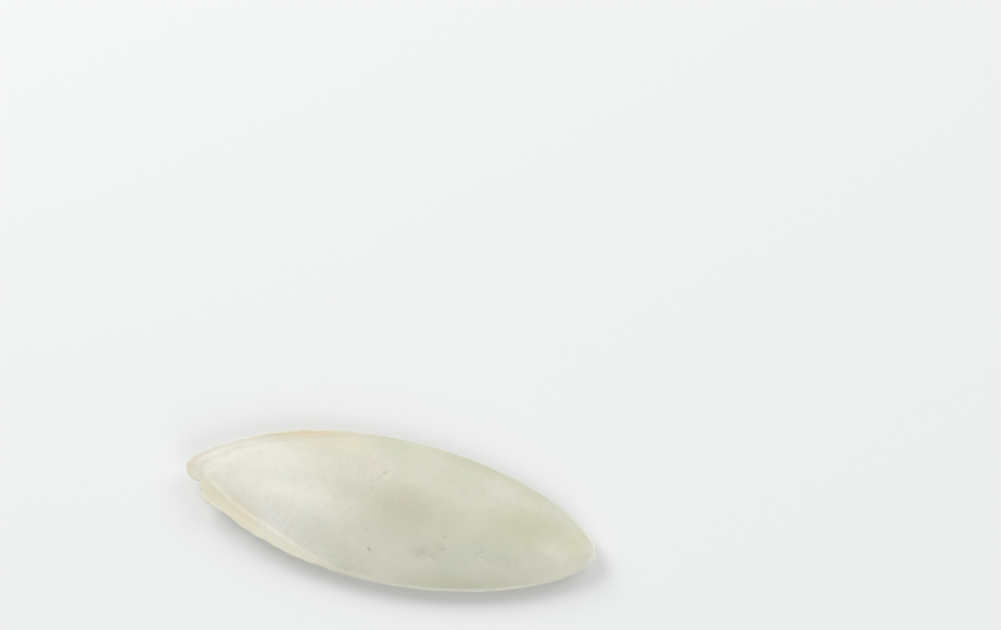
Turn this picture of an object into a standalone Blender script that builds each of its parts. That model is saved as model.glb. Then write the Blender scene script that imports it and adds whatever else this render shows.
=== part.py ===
"""Cuttlebone, the inner shell of a large cuttlefish, lying on its hard back with its chalky belly up.

It grew as one piece, so it is one solid. The tail is at -X and the head end at +X. The origin is under
the middle of the bone, at the level of the small flat spot on the back that it rests on. Lengths are
in metres.
"""

import math

import bmesh
import bpy
from mathutils import Matrix

# The whole bone
LENGTH = 0.226
WIDTH = 0.0815
TAIL_PINCH = 0.416
HEAD_PINCH = 0.257

# The hard back: a shallow hull with a faint ridge, which rests on a small flat spot
REST_X = 0.008
REST_DEPTH = 0.0004
HEAD_RISE = 0.0085
TAIL_RISE = 0.0120
HEAD_HULL_RADIUS = 0.104
TAIL_HULL_RADIUS = 0.078
RIDGE_HEIGHT = 0.0004
RIDGE_WIDTH = 0.010
TAIL_CURL = 0.0016
CURL_REACH = 0.0045

# The short blunt spine under the tail
SPINE_FRONT_X = -0.0880
SPINE_DEEP_X = -0.1075
SPINE_TIP_X = -0.1122
SPINE_DEPTH = 0.0027
SPINE_WIDTH = 0.0018

# The thin margin of the back that shows round the chalk, wide beside the tail and most on the -Y side
MARGIN_AT_HEAD = 0.0006
MARGIN_AT_MIDDLE = 0.0010
MARGIN_NEAR_TAIL = 0.0078
MARGIN_FAR_TAIL = 0.0052
MARGIN_WIDENS_X = -0.012
MARGIN_WIDE_X = -0.062
SIDES_BLEND = 0.006
RIM_THICKNESS = 0.0011
FOOT_THICKNESS = 0.0022
RIM_ROUND = 0.0007

# The chalky belly
CHALK_HEIGHT = 0.0240
CHALK_TAIL_X = -0.1045
CHALK_HEAD_X = 0.1122
CHALK_PEAK_SHIFT = 1.06
TAIL_FULLNESS = 0.95
HEAD_FULLNESS = 0.70
SIDE_POWER = 2.1
FILLET = 0.0012
FILLET_FULL_RUN = 0.05

# The ribbed rear half of the belly, a little lower than the smooth front half
RIBBED_END_X = -0.002
RIBBED_FULL_X = -0.010
RIBBED_STEP = 0.0005
GROOVE_DEPTH = 0.0011
GROOVE_WIDTH = 0.0065
GROOVE_FULL_X = -0.055

# The lip that runs in a U round the tail end of the ribbed half
LIP_HEIGHT = 0.0005
LIP_WIDTH = 0.0023
LIP_FADE_X = -0.012
LIP_FULL_X = -0.070

# The chip broken out of the margin beside the tail, and the corner that stands out behind it
CHIP_START_X = -0.1090
CHIP_DEEP_X = -0.1040
CHIP_TURN_X = -0.1035
CHIP_END_X = -0.1021
CHIP_DEPTH = 0.0032
CORNER_START_X = -0.1009
CORNER_TIP_X = -0.1000
CORNER_END_X = -0.0855
CORNER_REACH = 0.0031

# The mesh: rings run across the bone, bowed towards the head, and spokes run along it
RINGS = 76
SPOKES = 64
RING_BOW = 0.018
RINGS_TO_TAIL = 0.35
MARGIN_SHARE_OF_SPOKES = 0.34
LEAST_FOOT_SHARE = 0.30


def smooth_step(start, end, value):
    """0 at start, 1 at end, with no corner at either. The end may be below the start."""
    t = min(1.0, max(0.0, (value - start) / (end - start)))
    return t * t * (3 - 2 * t)


def half_width(x):
    """Half the bone's width at x, where the margin is whole."""
    u = min(1.0, max(0.0, x / LENGTH + 0.5))
    pinch = 1 - TAIL_PINCH * (1 - u) ** 7 - HEAD_PINCH * u**5
    return WIDTH * math.sqrt(u * (1 - u)) * pinch


def squared_width_slope(x):
    """How fast the square of the half width grows along the bone."""
    step = 0.0001
    return (half_width(x + step) ** 2 - half_width(x - step) ** 2) / (2 * step)


def distance_inside(x, y):
    """Distance from the whole outline to a point inside it."""
    steepness = math.hypot(squared_width_slope(x), 2 * y)
    return max(0.0, half_width(x) ** 2 - y * y) / max(steepness, 1e-6)


def margin_width(x, y):
    """Width of the bare margin between the outline and the foot of the chalk."""
    middle = smooth_step(LENGTH / 2, 0.0, x)
    width = MARGIN_AT_HEAD + (MARGIN_AT_MIDDLE - MARGIN_AT_HEAD) * middle
    far = smooth_step(-SIDES_BLEND, SIDES_BLEND, y)
    tail_width = MARGIN_NEAR_TAIL + (MARGIN_FAR_TAIL - MARGIN_NEAR_TAIL) * far
    return width + (tail_width - MARGIN_AT_MIDDLE) * smooth_step(MARGIN_WIDENS_X, MARGIN_WIDE_X, x)


def foot_half_width(x, y):
    """Half the width of the chalk at its foot, on the side of y, and below 0 where it has ended."""
    width = max(half_width(x), 1e-6)
    return width - margin_width(x, y) * math.hypot(1, squared_width_slope(x) / (2 * width))


def edge_half_width(x, side):
    """Half the width with the chip and the corner, which are on the -Y side."""
    width = half_width(x)
    if side > 0:
        return width
    into_chip = (x - CHIP_START_X) / (CHIP_DEEP_X - CHIP_START_X)
    out_of_chip = (CHIP_END_X - x) / (CHIP_END_X - CHIP_TURN_X)
    chip = CHIP_DEPTH * max(0.0, min(1.0, into_chip, out_of_chip))
    before_tip = smooth_step(CORNER_START_X, CORNER_TIP_X, x)
    past_tip = smooth_step(CORNER_END_X, CORNER_TIP_X, x)
    return width + CORNER_REACH * before_tip * past_tip - chip


def hull_height(x, y):
    """Height of the back's outer face without the spine. It is flat where it rests."""
    ahead = x - REST_X
    if ahead > 0:
        along = HEAD_RISE * (ahead / (LENGTH / 2 - REST_X)) ** 2
    else:
        along = TAIL_RISE * (ahead / (LENGTH / 2 + REST_X)) ** 2
    tailward = smooth_step(0.0, -LENGTH / 2, x)
    radius = HEAD_HULL_RADIUS + (TAIL_HULL_RADIUS - HEAD_HULL_RADIUS) * tailward
    ridge = RIDGE_HEIGHT * (1 - math.exp(-((y / RIDGE_WIDTH) ** 2)))
    curl = TAIL_CURL * tailward * math.exp(-distance_inside(x, y) / CURL_REACH)
    return max(0.0, along + y * y / (2 * radius) + ridge + curl - REST_DEPTH)


def spine_depth(x, y):
    """How far the spine stands out below the back."""
    along = smooth_step(SPINE_FRONT_X, SPINE_DEEP_X, x) * smooth_step(SPINE_TIP_X, SPINE_DEEP_X, x)
    return SPINE_DEPTH * along * math.exp(-((y / SPINE_WIDTH) ** 2))


def margin_thickness(x, y, to_edge):
    """Thickness of the margin, to_edge being the distance to the real edge, chip and all."""
    inward = min(1.0, distance_inside(x, y) / margin_width(x, y))
    full = RIM_THICKNESS + (FOOT_THICKNESS - RIM_THICKNESS) * inward
    rounding = min(1.0, to_edge / RIM_ROUND)
    return full * math.sqrt(1 - (1 - rounding) ** 2)


def chalk_height(x, y, station):
    """Height of the chalk above the margin. The station is the x at which its ring meets the rim."""
    run = (x - CHALK_TAIL_X) / (CHALK_HEAD_X - CHALK_TAIL_X)
    foot = foot_half_width(x, y)
    if not 0 < run < 1 or foot <= 0:
        return 0.0
    fullness = TAIL_FULLNESS + (HEAD_FULLNESS - TAIL_FULLNESS) * run
    peak = CHALK_HEIGHT * math.sin(math.pi * run**CHALK_PEAK_SHIFT) ** fullness
    height = peak * (1 - abs(y / foot) ** SIDE_POWER)
    groove = GROOVE_DEPTH * math.exp(-((y / GROOVE_WIDTH) ** 2)) * min(1.0, 6 * run)
    height -= RIBBED_STEP * smooth_step(RIBBED_END_X, RIBBED_FULL_X, station)
    height -= groove * smooth_step(RIBBED_END_X, GROOVE_FULL_X, station)
    fillet = FILLET * smooth_step(0.0, FILLET_FULL_RUN, run)
    return (height + math.hypot(height, fillet)) / 2


def lip_height(x, y):
    """Height of the lip that follows the foot of the chalk round the tail."""
    off_foot = (distance_inside(x, y) - margin_width(x, y)) / LIP_WIDTH
    return LIP_HEIGHT * smooth_step(LIP_FADE_X, LIP_FULL_X, x) * math.exp(-off_foot * off_foot)


def belly_offset(x, side, edge, turn):
    """How far from the middle a spoke of the belly runs at x: turn is 0 at the edge and 1 in the middle."""
    foot = min(0.95 * edge, max(foot_half_width(x, side * edge), LEAST_FOOT_SHARE * edge))
    if turn < MARGIN_SHARE_OF_SPOKES:
        return edge - (edge - foot) * (turn / MARGIN_SHARE_OF_SPOKES) ** 1.6
    inward = (turn - MARGIN_SHARE_OF_SPOKES) / (1 - MARGIN_SHARE_OF_SPOKES)
    return foot * (1 - inward**1.2)


def bone_point(on_ball):
    """The bone's surface point for a point of a ball of radius 1 whose poles lie on X."""
    share = math.acos(max(-1.0, min(1.0, on_ball.x))) / math.pi
    share += RINGS_TO_TAIL * share * (1 - share)
    ring = math.sin(math.pi * share)
    reach = math.hypot(on_ball.y, on_ball.z)
    across, up = (on_ball.y / reach, on_ball.z / reach) if reach > 1e-6 else (0.0, 0.0)
    station = LENGTH / 2 * math.cos(math.pi * share)
    x = station + RING_BOW * (ring * up) ** 2
    side = math.copysign(1.0, across)
    edge = edge_half_width(x, side)
    if up > 1e-6:
        y = side * belly_offset(x, side, edge, math.atan2(up, abs(across)) / (math.pi / 2))
        thickness = margin_thickness(x, y, edge - abs(y))
        z = hull_height(x, y) + thickness + chalk_height(x, y, station) + lip_height(x, y)
    else:
        y = edge * across
        z = hull_height(x, y) - spine_depth(x, y) + (RIM_THICKNESS / 3 if up > -1e-6 else 0.0)
    return (x, y, z)


def build_bone(collection):
    """The whole bone, made from a ball by moving each of its points."""
    ball = bmesh.new()
    poles_on_x = Matrix.Rotation(math.pi / 2, 4, "Y")
    bmesh.ops.create_uvsphere(
        ball, u_segments=SPOKES, v_segments=RINGS, radius=1, matrix=poles_on_x
    )
    for vertex in ball.verts:
        vertex.co = bone_point(vertex.co)
    bmesh.ops.recalc_face_normals(ball, faces=ball.faces)
    mesh = bpy.data.meshes.new("cuttlebone")
    ball.to_mesh(mesh)
    ball.free()
    mesh.shade_smooth()
    bone = bpy.data.objects.new("cuttlebone", mesh)
    collection.objects.link(bone)
    return bone


def chalky_material():
    material = bpy.data.materials.new("chalky_shell")
    material.use_nodes = True
    shader = material.node_tree.nodes["Principled BSDF"]
    shader.inputs["Base Color"].default_value = (0.79, 0.77, 0.66, 1)
    shader.inputs["Roughness"].default_value = 0.75
    shader.inputs["Metallic"].default_value = 0.0
    return material


def main():
    for old in list(bpy.data.objects):
        bpy.data.objects.remove(old)
    parts = bpy.data.collections.new("cuttlebone")
    bpy.context.scene.collection.children.link(parts)
    bone = build_bone(parts)
    bone.data.materials.append(chalky_material())


main()
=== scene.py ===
"""A cuttlebone lying on its hard back, with its chalky belly up, on a pale studio floor.

The tail is at -X and the head end at +X. Lengths are in metres, as in the solid, unless a name ends
in _mm.
"""

import math
from collections import namedtuple

import bmesh
import bpy
import numpy as np
from mathutils import Matrix, Vector


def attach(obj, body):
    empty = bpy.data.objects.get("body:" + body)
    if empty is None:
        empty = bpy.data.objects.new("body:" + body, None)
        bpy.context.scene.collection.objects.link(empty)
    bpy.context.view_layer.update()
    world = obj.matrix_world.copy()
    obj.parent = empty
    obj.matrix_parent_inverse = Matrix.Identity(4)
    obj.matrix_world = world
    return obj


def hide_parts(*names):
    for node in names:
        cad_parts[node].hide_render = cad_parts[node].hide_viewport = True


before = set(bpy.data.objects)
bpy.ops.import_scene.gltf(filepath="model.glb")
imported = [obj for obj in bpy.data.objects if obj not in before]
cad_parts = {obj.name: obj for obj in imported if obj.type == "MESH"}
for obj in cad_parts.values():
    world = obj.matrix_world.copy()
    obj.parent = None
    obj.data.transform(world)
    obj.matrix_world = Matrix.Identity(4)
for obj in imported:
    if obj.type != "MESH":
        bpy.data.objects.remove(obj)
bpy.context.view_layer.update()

# The whole bone, with the solid's own values
LENGTH = 0.226
HALF_LENGTH = LENGTH / 2
WIDTH = 0.0815
TAIL_PINCH = 0.416
HEAD_PINCH = 0.257

# The hard back
REST_X = 0.008
REST_DEPTH = 0.0004
HEAD_RISE = 0.0085
TAIL_RISE = 0.0120
HEAD_HULL_RADIUS = 0.104
TAIL_HULL_RADIUS = 0.078
RIDGE_HEIGHT = 0.0004
RIDGE_WIDTH = 0.010
TAIL_CURL = 0.0016
CURL_REACH = 0.0045
GROWTH_RIDGE_HEIGHT = 0.00007
GROWTH_RIDGE_SPACING = 0.0042

# The short blunt spine under the tail
SPINE_FRONT_X = -0.0880
SPINE_DEEP_X = -0.1075
SPINE_TIP_X = -0.1122
SPINE_DEPTH = 0.0027
SPINE_WIDTH = 0.0018

# The thin margin that shows round the chalk, wide beside the tail and most on the -Y side
MARGIN_AT_HEAD = 0.0006
MARGIN_AT_MIDDLE = 0.0010
MARGIN_NEAR_TAIL = 0.0078
MARGIN_FAR_TAIL = 0.0052
MARGIN_WIDENS_X = -0.012
MARGIN_WIDE_X = -0.062
SIDES_BLEND = 0.006
RIM_THICKNESS = 0.0011
FOOT_THICKNESS = 0.0022
RIM_ROUND = 0.0007
EDGE_WOBBLE = 0.00025
WOBBLE_SHARE_AT_HEAD = 0.35
WOBBLE_GROWS_X = 0.02
WOBBLE_FULL_X = -0.07
WOBBLE_FULL_WIDTH = 0.012
MARGIN_BUCKLE = 0.00020
MARGIN_LINE_HEIGHT = 0.00004
MARGIN_LINE_SPACING = 0.0013

# The chalky belly
CHALK_HEIGHT = 0.0240
CHALK_TAIL_X = -0.1045
CHALK_HEAD_X = 0.1122
CHALK_PEAK_SHIFT = 1.06
TAIL_FULLNESS = 0.95
HEAD_FULLNESS = 0.70
SIDE_POWER = 2.1
FILLET = 0.0010
FILLET_FULL_RUN = 0.05
UNEVENNESS = 0.00016

# The ribbed rear half of the belly
RIBBED_END_X = -0.002
RIBBED_FULL_X = -0.010
RIBBED_TAIL_X = CHALK_TAIL_X
RIBBED_STEP = 0.0005
GROOVE_DEPTH = 0.0011
GROOVE_WIDTH = 0.0065
GROOVE_FULL_X = -0.055
STRIAE = 88
STRIA_HEIGHT = 0.00014
STRIA_WAVER = 0.0004

# The lip that runs in a U round the tail end of the ribbed half, and the furrow outside it
LIP_HEIGHT = 0.0005
LIP_WIDTH = 0.0023
LIP_FADE_X = -0.012
LIP_FULL_X = -0.070
FURROW_DEPTH = 0.00018
FURROW_WIDTH = 0.0013
FURROW_OFFSET = 0.0031

# The chip broken out of the margin beside the tail, and the corner that stands out behind it
CHIP_START_X = -0.1090
CHIP_DEEP_X = -0.1040
CHIP_TURN_X = -0.1035
CHIP_END_X = -0.1021
CHIP_DEPTH = 0.0032
CHIP_RAGGEDNESS = 0.00035
CORNER_START_X = -0.1009
CORNER_TIP_X = -0.1000
CORNER_END_X = -0.0855
CORNER_REACH = 0.0031

# The mesh: rings run across the bone, bowed towards the head, and spokes run along it
HEAD_RINGS = 116
RINGS_PER_STRIA = 4
TAIL_RINGS = 26
RINGS = HEAD_RINGS + STRIAE * RINGS_PER_STRIA + TAIL_RINGS
SPOKES = 200
BELLY_SPOKES = 136
RING_BOW = 0.018
MARGIN_SHARE_OF_SPOKES = 0.26
LEAST_FOOT_SHARE = 0.30

# The marks on the chalk: where each is, how it is turned, and how long, wide and deep it is
Mark = namedtuple("Mark", "x y turn length width depth")
LIPPED_DENT = Mark(-0.0056, 0.0157, math.radians(46), 0.0033, 0.0018, 0.00055)
DENT_LIP = Mark(-0.0042, 0.0138, math.radians(40), 0.0042, 0.0013, 0.00036)
DARK_PIT = Mark(-0.0052, -0.0260, math.radians(-35), 0.0020, 0.0014, 0.00030)
WORN_PATCH = Mark(0.0250, -0.0214, math.radians(14), 0.0128, 0.0052, 0.00020)
LOW_BUMPS = Mark(0.0700, -0.0160, math.radians(10), 0.0080, 0.0050, 0.00020)
FLECKED_AREA = Mark(-0.0080, 0.0010, math.radians(-12), 0.0330, 0.0260, 0.00008)
SCRATCHES = (
    Mark(0.0235, -0.0228, math.radians(30), 0.0018, 0.0012, 0.00006),
    Mark(0.0273, -0.0242, math.radians(-10), 0.0022, 0.0014, 0.00006),
    Mark(0.0537, -0.0184, math.radians(20), 0.0016, 0.0010, 0.00005),
    Mark(0.0062, -0.0085, math.radians(-47), 0.0040, 0.0007, 0.00008),
    Mark(0.0018, -0.0155, math.radians(-58), 0.0034, 0.0006, 0.00007),
    Mark(-0.0215, -0.0120, math.radians(62), 0.0026, 0.0006, 0.00006),
)
SMALL_PITS = (
    Mark(0.0511, -0.0172, math.radians(50), 0.0030, 0.0009, 0.00010),
    Mark(0.0537, -0.0153, math.radians(12), 0.0017, 0.0008, 0.00009),
    Mark(0.0337, -0.0182, math.radians(10), 0.0019, 0.0013, 0.00016),
    Mark(0.0331, -0.0122, math.radians(60), 0.0012, 0.0010, 0.00012),
    Mark(-0.0087, 0.0127, math.radians(20), 0.0014, 0.0010, 0.00012),
    Mark(-0.0169, 0.0135, math.radians(0), 0.0013, 0.0009, 0.00010),
    Mark(-0.0104, 0.0063, math.radians(80), 0.0012, 0.0009, 0.00010),
)

# The places of the soft stains and of the painted light and painted shadow, which have no depth
PINK_PATCH = Mark(-0.0130, 0.0185, math.radians(-20), 0.0110, 0.0080, 0)
YELLOW_PATCH = Mark(-0.0250, 0.0290, math.radians(-10), 0.0120, 0.0070, 0)
# Partly the chalk's own green tone and partly a painted shadow across the centre
GREEN_TONE_AND_PAINTED_SHADOW_CENTRE = Mark(0.0160, -0.0070, math.radians(6), 0.0460, 0.0220, 0)
OCHRE_END = Mark(0.1018, -0.0008, math.radians(78), 0.0145, 0.0075, 0)
# Partly the chalk's own olive tone and partly a painted shadow on the front half
OLIVE_TONE_AND_PAINTED_SHADOW_STREAK = Mark(0.0750, 0.0030, math.radians(4), 0.0400, 0.0170, 0)
# Painted light: a pale patch that lifts the near flank of the head end out of its shade
PAINTED_LIGHT_HEAD = Mark(0.0950, -0.0080, math.radians(-25), 0.0240, 0.0105, 0)
# Painted light and painted sheen: pale patches that lift the near flank of the tail half where the
# lamps leave it in shade
PAINTED_LIGHT_FLANK = Mark(-0.0500, -0.0070, math.radians(-35), 0.0460, 0.0300, 0)
PAINTED_LIGHT_SHOULDER = Mark(-0.0600, -0.0195, math.radians(-25), 0.0290, 0.0100, 0)
PAINTED_LIGHT_FOOT = Mark(-0.0310, -0.0330, math.radians(-12), 0.0230, 0.0100, 0)
WARM_FLANK = Mark(-0.0370, 0.0310, math.radians(14), 0.0320, 0.0120, 0)
TAN_CREST = Mark(0.0070, 0.0030, math.radians(10), 0.0360, 0.0185, 0)
# Painted sheen: a whiter patch on the chalk at the tail end, and a painted highlight along the far
# margin there
PAINTED_SHEEN_TAIL = Mark(-0.0940, 0.0130, math.radians(34), 0.0360, 0.0115, 0)
AMBER_PATCH = Mark(-0.0780, -0.0185, math.radians(-25), 0.0200, 0.0078, 0)
OLIVE_MARGIN = Mark(-0.0940, -0.0120, math.radians(-25), 0.0170, 0.0080, 0)
OCHRE_MARGIN = Mark(-0.0500, 0.0335, math.radians(17), 0.0300, 0.0080, 0)

# The stains, painted light and painted shadow of the chalk and of the margin: where each is, its
# colour, and how strong it is
ColourPatch = namedtuple("ColourPatch", "mark colour share")
CHALK_STAINS_AND_PAINTED_LIGHT = (
    # The pale head, flank, shoulder, foot and tail patches are painted light; the green centre and the
    # olive streak are partly painted shadow
    ColourPatch(GREEN_TONE_AND_PAINTED_SHADOW_CENTRE, (0.56, 0.565, 0.41, 1), 0.50),
    ColourPatch(PINK_PATCH, (0.84, 0.74, 0.65, 1), 0.45),
    ColourPatch(YELLOW_PATCH, (0.80, 0.78, 0.58, 1), 0.45),
    ColourPatch(OCHRE_END, (0.77, 0.745, 0.51, 1), 0.60),
    ColourPatch(OLIVE_TONE_AND_PAINTED_SHADOW_STREAK, (0.60, 0.605, 0.38, 1), 0.52),
    ColourPatch(PAINTED_LIGHT_HEAD, (0.92, 0.90, 0.78, 1), 0.34),
    ColourPatch(PAINTED_LIGHT_FLANK, (0.94, 0.93, 0.86, 1), 0.62),
    ColourPatch(PAINTED_LIGHT_SHOULDER, (0.97, 0.965, 0.91, 1), 0.70),
    ColourPatch(PAINTED_LIGHT_FOOT, (0.90, 0.90, 0.80, 1), 0.55),
    ColourPatch(AMBER_PATCH, (0.79, 0.71, 0.50, 1), 0.45),
    ColourPatch(WARM_FLANK, (0.80, 0.725, 0.57, 1), 0.52),
    ColourPatch(TAN_CREST, (0.56, 0.51, 0.37, 1), 0.42),
    ColourPatch(PAINTED_SHEEN_TAIL, (0.95, 0.945, 0.90, 1), 0.60),
)
MARGIN_STAINS_AND_PAINTED_LIGHT = (
    # The pale tail patch on the margin is a painted highlight
    ColourPatch(AMBER_PATCH, (0.78, 0.69, 0.46, 1), 0.44),
    ColourPatch(OLIVE_MARGIN, (0.74, 0.71, 0.52, 1), 0.45),
    ColourPatch(PAINTED_SHEEN_TAIL, (0.90, 0.88, 0.815, 1), 0.80),
    ColourPatch(OCHRE_MARGIN, (0.83, 0.75, 0.54, 1), 0.80),
)

# The colours of the chalk, of its speckle and of its small marks, with painted shade and a painted
# highlight among them
CHALK_PALE = (0.865, 0.85, 0.755, 1)
CHALK_GREEN = (0.675, 0.685, 0.545, 1)
CHALK_WARM = (0.83, 0.78, 0.655, 1)
THIN_CHALK_TINT = (0.60, 0.605, 0.43, 1)
# Painted shade in the low grooves between the striae
STRIA_GROOVE_PAINTED_SHADE = (0.62, 0.58, 0.45, 1)
MOTTLE_TINT = (0.58, 0.565, 0.43, 1)
PORE_TINT = (0.48, 0.48, 0.38, 1)
FLECK_TINT = (0.55, 0.57, 0.46, 1)
# Painted shade inside the lipped dent and a painted highlight on its raised lip
DENT_PAINTED_SHADE = (0.60, 0.575, 0.42, 1)
DENT_LIP_PAINTED_HIGHLIGHT = (0.84, 0.84, 0.63, 1)
DARK_PIT_TINT = (0.37, 0.375, 0.30, 1)
WORN_TINT = (0.50, 0.485, 0.345, 1)
LOW_BUMPS_TINT = (0.60, 0.56, 0.41, 1)
SCRATCH_TINT = (0.84, 0.83, 0.72, 1)
SMALL_PIT_TINT = (0.47, 0.46, 0.37, 1)

# The colours of the margin, and the painted rim light at the head end
MARGIN_OLIVE = (0.775, 0.76, 0.645, 1)
MARGIN_AMBER = (0.75, 0.705, 0.55, 1)
MARGIN_INNER = (0.84, 0.83, 0.725, 1)
MARGIN_LINE_TINT = (0.62, 0.56, 0.42, 1)
MARGIN_CHALKY = (0.77, 0.765, 0.65, 1)
MARGIN_RUBBED = (0.88, 0.87, 0.80, 1)
# Painted shade in the furrow outside the lip
MARGIN_FURROW_PAINTED_SHADE = (0.66, 0.60, 0.43, 1)
HEAD_RIM_PAINTED_LIGHT = (0.92, 0.92, 0.86, 1)

# The colours of the hard back
BACK_CREAM = (0.80, 0.765, 0.66, 1)
BACK_TAN = (0.77, 0.70, 0.575, 1)
BACK_LINE_TINT = (0.62, 0.53, 0.40, 1)
BACK_PORE_TINT = (0.60, 0.54, 0.43, 1)

# Where tints change along the bone or across it: none at the first place, full at the second
TAIL_PALES_X = (-0.020, -0.085)
HEAD_PALES_X = (0.070, 0.112)
THIN_CHALK_BEGINS_X = (0.000, 0.030)
THIN_CHALK_ENDS_X = (0.095, 0.065)
MARGIN_TURNS_CHALKY_X = (-0.045, 0.005)
# Where the painted rim light at the head end begins on the margin and on the chalk
MARGIN_RIM_LIGHT_X = (0.088, 0.102)
CHALK_RIM_LIGHT_X = (0.088, 0.106)
FAR_SIDE_Y = (-0.010, 0.000)

# How far light spreads inside the bone before it leaves it
SUBSURFACE_SCALE = 0.0022

# The camera, which looks down on the bone as the photograph does
LENS_MM = 85
SENSOR_MM = 36
CAMERA_AZIMUTH = math.radians(12.463)
CAMERA_ELEVATION = math.radians(70)
CAMERA_DISTANCE = 1.3181
CAMERA_AIM = Vector((0.03287, 0.12485, 0.0))

# The studio
FLOOR_RADIUS = 7.0
FLOOR_COLOUR = (0.94, 0.95, 0.945, 1)
SKY_COLOUR = (0.98, 0.99, 1.0, 1)
SKY_STRENGTH = 0.43
SOFTBOX_SIZE = 1.3
KEY_PLACE = Vector((-1.30, 0.95, 1.35))
KEY_POWER = 20.0
FAR_PLACE = Vector((1.0, 1.3, 1.3))
FAR_POWER = 8.0
NEAR_PLACE = Vector((0.9, -1.3, 1.1))
NEAR_POWER = 9.0


def smooth_step(start, end, value):
    """0 at start, 1 at end, with no corner at either. The end may be below the start."""
    t = np.clip((value - start) / (end - start), 0.0, 1.0)
    return t * t * (3 - 2 * t)


def waviness(x, y, wavelength, seed, waves=9):
    """A smooth irregular pattern, mostly between -1 and 1, which is the same on every run."""
    draw = np.random.default_rng(seed)
    total = np.zeros_like(x)
    for _ in range(waves):
        heading = draw.uniform(0, 2 * math.pi)
        length = wavelength * draw.uniform(0.6, 1.7)
        along = x * math.cos(heading) + y * math.sin(heading)
        total += np.sin(2 * math.pi * along / length + draw.uniform(0, 2 * math.pi))
    return total / math.sqrt(waves)


def half_width(x):
    """Half the bone's width at x, where the margin is whole."""
    u = np.clip(x / LENGTH + 0.5, 0.0, 1.0)
    pinch = 1 - TAIL_PINCH * (1 - u) ** 7 - HEAD_PINCH * u**5
    return WIDTH * np.sqrt(u * (1 - u)) * pinch


def squared_width_slope(x):
    """How fast the square of the half width grows along the bone."""
    step = 0.0001
    return (half_width(x + step) ** 2 - half_width(x - step) ** 2) / (2 * step)


def distance_inside(x, y):
    """Distance from the whole outline to a point inside it."""
    steepness = np.hypot(squared_width_slope(x), 2 * y)
    return np.maximum(0.0, half_width(x) ** 2 - y * y) / np.maximum(steepness, 1e-6)


def margin_width(x, y):
    """Width of the bare margin between the outline and the foot of the chalk."""
    middle = smooth_step(HALF_LENGTH, 0.0, x)
    width = MARGIN_AT_HEAD + (MARGIN_AT_MIDDLE - MARGIN_AT_HEAD) * middle
    far = smooth_step(-SIDES_BLEND, SIDES_BLEND, y)
    tail_width = MARGIN_NEAR_TAIL + (MARGIN_FAR_TAIL - MARGIN_NEAR_TAIL) * far
    return width + (tail_width - MARGIN_AT_MIDDLE) * smooth_step(MARGIN_WIDENS_X, MARGIN_WIDE_X, x)


def foot_half_width(x, y):
    """Half the width of the chalk at its foot, on the side of y, and below 0 where it has ended."""
    width = np.maximum(half_width(x), 1e-6)
    return width - margin_width(x, y) * np.hypot(1, squared_width_slope(x) / (2 * width))


def edge_half_width(x, side):
    """Half the width with the chip and the corner on the -Y side, and the edge's small wobbles."""
    width = half_width(x)
    into_chip = (x - CHIP_START_X) / (CHIP_DEEP_X - CHIP_START_X)
    out_of_chip = (CHIP_END_X - x) / (CHIP_END_X - CHIP_TURN_X)
    in_chip = np.clip(np.minimum(into_chip, out_of_chip), 0.0, 1.0)
    ragged = waviness(x, 0 * x, wavelength=0.0022, seed=5)
    chip = in_chip * (CHIP_DEPTH + CHIP_RAGGEDNESS * ragged)
    before_tip = smooth_step(CORNER_START_X, CORNER_TIP_X, x)
    past_tip = smooth_step(CORNER_END_X, CORNER_TIP_X, x)
    corner = CORNER_REACH * before_tip * past_tip
    slow = waviness(x, side * 0.05, wavelength=0.013, seed=21)
    quick = waviness(x, side * 0.02, wavelength=0.0035, seed=22)
    tailward = smooth_step(WOBBLE_GROWS_X, WOBBLE_FULL_X, x)
    share = WOBBLE_SHARE_AT_HEAD + (1 - WOBBLE_SHARE_AT_HEAD) * tailward
    share = share * np.minimum(1.0, width / WOBBLE_FULL_WIDTH)
    wobble = EDGE_WOBBLE * share * (1 + slow + 0.5 * quick)
    return width - wobble + np.where(side < 0, corner - chip, 0.0)


def hull_height(x, y):
    """Height of the back's outer face without the spine. It is flat where it rests."""
    ahead = x - REST_X
    head_share = ahead / (HALF_LENGTH - REST_X)
    tail_share = ahead / (HALF_LENGTH + REST_X)
    along = np.where(ahead > 0, HEAD_RISE * head_share**2, TAIL_RISE * tail_share**2)
    tailward = smooth_step(0.0, -HALF_LENGTH, x)
    radius = HEAD_HULL_RADIUS + (TAIL_HULL_RADIUS - HEAD_HULL_RADIUS) * tailward
    ridge = RIDGE_HEIGHT * (1 - np.exp(-((y / RIDGE_WIDTH) ** 2)))
    curl = TAIL_CURL * tailward * np.exp(-distance_inside(x, y) / CURL_REACH)
    return np.maximum(0.0, along + y * y / (2 * radius) + ridge + curl - REST_DEPTH)


def spine_depth(x, y):
    """How far the spine stands out below the back."""
    along = smooth_step(SPINE_FRONT_X, SPINE_DEEP_X, x) * smooth_step(SPINE_TIP_X, SPINE_DEEP_X, x)
    return SPINE_DEPTH * along * np.exp(-((y / SPINE_WIDTH) ** 2))


def growth_ridges(x, y, station):
    """Low ridges that the back keeps from its growth, parallel to its head end."""
    turns = station / GROWTH_RIDGE_SPACING + 0.5 * waviness(x, y, wavelength=0.030, seed=31)
    off_rest = smooth_step(0.0, 0.004, hull_height(x, y))
    off_rim = smooth_step(0.0, 0.003, distance_inside(x, y))
    return GROWTH_RIDGE_HEIGHT * off_rest * off_rim * np.sin(2 * math.pi * turns)


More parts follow.
